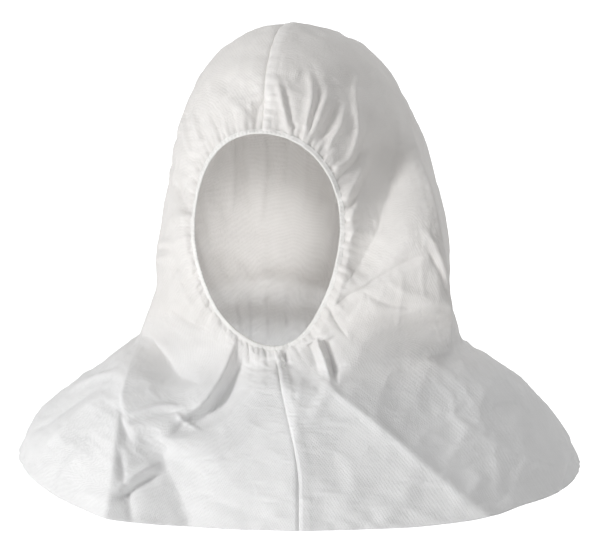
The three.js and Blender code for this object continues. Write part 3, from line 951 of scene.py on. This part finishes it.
def opening_edge():
    """Even places around the opening, with directions into the cloth and outwards."""
    edge = cloth_points[0, :-1]
    into = cloth_points[3, :-1] - edge
    normal = grid_normals(cloth_points)[0, :-1]
    closed = np.vstack([edge, edge[:1]])
    length = np.concatenate([[0], np.cumsum(np.linalg.norm(np.diff(closed, axis=0), axis=1))])
    run = np.linspace(0, length[-1], STATIONS, endpoint=False)

    def even(values):
        return picked(run, length, np.vstack([values, values[:1]]))

    def softened(values):
        for _ in range(6):
            values = (np.roll(values, 1, 0) + 2 * values + np.roll(values, -1, 0)) / 4
        return values

    place, into, normal = softened(even(edge)), softened(even(into)), softened(even(normal))
    ahead = np.roll(place, -1, 0) - np.roll(place, 1, 0)
    ahead /= np.linalg.norm(ahead, axis=1, keepdims=True)
    into -= ahead * np.sum(into * ahead, 1, keepdims=True)
    into /= np.linalg.norm(into, axis=1, keepdims=True)
    normal = np.cross(into, ahead)
    normal *= np.sign(np.sum(normal * even(grid_normals(cloth_points)[0, :-1]), 1))[:, None]
    return place, into, normal, run, length[-1]


EDGE, INTO_CLOTH, EDGE_NORMAL, EDGE_RUN, EDGE_LENGTH = opening_edge()


def round_opening(section, ripple=0.0):
    """Rings of places around the opening that follow a section given in millimetres."""
    phase = EDGE_RUN / RIPPLE_PITCH * 2 * math.pi + 1.9 * np.sin(EDGE_RUN / 0.0131)
    wave = np.sin(phase) * (1 + 0.5 * np.sin(EDGE_RUN / 0.0217))
    rings = []
    for t, depth in section:
        puff = 1 + ripple * wave * (0.5 + 0.5 * math.tanh(1.5 - t))
        rings.append(EDGE + (INTO_CLOTH * (t + 0.12 * ripple * wave)[:, None]
                             + EDGE_NORMAL * (depth * puff)[:, None]) * mm)
    return np.stack(rings, 1)


def ring_mesh(name, rings, closed_section):
    rows, width = rings.shape[:2]
    index = np.arange(rows * width).reshape(rows, width)
    index = np.vstack([index, index[:1]])
    if closed_section:
        index = np.hstack([index, index[:, :1]])
    faces = np.stack([index[:-1, :-1], index[1:, :-1], index[1:, 1:], index[:-1, 1:]], -1)
    faces = faces.reshape(-1, 4)
    mesh = bpy.data.meshes.new(name)
    mesh.from_pydata(rings.reshape(-1, 3).tolist(), [], faces.tolist())
    mesh.polygons.foreach_set("use_smooth", [True] * len(faces))
    piece = bpy.data.objects.new(name, mesh)
    bpy.context.scene.collection.objects.link(piece)
    return piece


def binding_tape():
    make = Nodes("binding_tape")
    place = make.add("TexCoord").outputs["Object"]
    fibres = make.add("TexNoise", Scale=1500.0, Detail=4.0, Distortion=0.8)
    make.join(place, fibres.inputs["Vector"])
    make.join(make.bump(fibres.outputs["Fac"], 0.0002, 0.5), make.shader.inputs["Normal"])
    make.two_tone(fibres.outputs["Fac"], (0.83, 0.82, 0.80), (0.93, 0.92, 0.90))
    make.shader.inputs["Roughness"].default_value = 0.7
    make.shader.inputs["Sheen Weight"].default_value = 0.15
    return make.material


binding = ring_mesh("face_binding_tape", round_opening(BINDING_SECTION, 0.3), False)
body = binding.modifiers.new("cloth thickness", "SOLIDIFY")
body.thickness = BINDING_CLOTH
body.offset = 0
binding.data.materials.append(binding_tape())
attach(binding, "root")
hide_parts("face_binding")


# ---- Elastic in the binding ----
# A flat strip of covered rubber threads that lies inside the fold of the binding and draws
# the face opening in.
ELASTIC_SECTION = [(-0.55 + 0.28 * math.cos(a), 0.62 * math.sin(a))
                   for a in np.linspace(0, 2 * math.pi, 10, endpoint=False)]


def covered_rubber():
    make = Nodes("covered_rubber")
    place = make.add("TexCoord").outputs["Object"]
    ribs = make.add("TexWave", Scale=700.0, Distortion=1.0)
    make.join(place, ribs.inputs["Vector"])
    make.join(make.bump(ribs.outputs["Fac"], 0.0002, 0.6), make.shader.inputs["Normal"])
    make.two_tone(ribs.outputs["Fac"], (0.74, 0.73, 0.70), (0.86, 0.85, 0.82))
    make.shader.inputs["Roughness"].default_value = 0.6
    return make.material


elastic = ring_mesh("face_elastic_strip", round_opening(ELASTIC_SECTION), True)
elastic.data.materials.append(covered_rubber())
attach(elastic, "root")
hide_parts("face_elastic")


# ---- Lockstitch of the binding ----
# One row of short stitches through both legs of the binding and the cloth between them. The
# needle thread shows on the outside and the bobbin thread on the inside.
LOCKSTITCH = 2.4 * mm
LOCKSTITCH_THREAD = 0.3 * mm
STITCH_LINE = 2.75


def lockstitch(face, pierced):
    """Dashes that lie on one face of the binding and dip into it at each needle hole."""
    count = int(EDGE_LENGTH / LOCKSTITCH)
    steps = np.array([0.06, 0.14, 0.5, 0.86, 0.94])
    depth = np.tile([pierced, face * 0.93, face, face * 0.93, pierced], count)
    run = ((np.arange(count)[:, None] + steps) * EDGE_LENGTH / count).ravel()
    closed = np.append(EDGE_RUN, EDGE_LENGTH)

    def pick(values):
        return picked(run, closed, np.vstack([values, values[:1]]))

    return pick(EDGE) + (pick(INTO_CLOTH) * STITCH_LINE + pick(EDGE_NORMAL) * depth[:, None]) * mm


for node, face, pierced in (("binding_needle_thread", 0.8, 0.1),
                            ("binding_bobbin_thread", -1.02, -0.3)):
    piece = thread(f"{node}_stitches", lockstitch(face, pierced), LOCKSTITCH_THREAD, closed=True)
    piece.data.materials.append(THREAD_FINISH)
    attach(piece, "root")
    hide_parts(node)
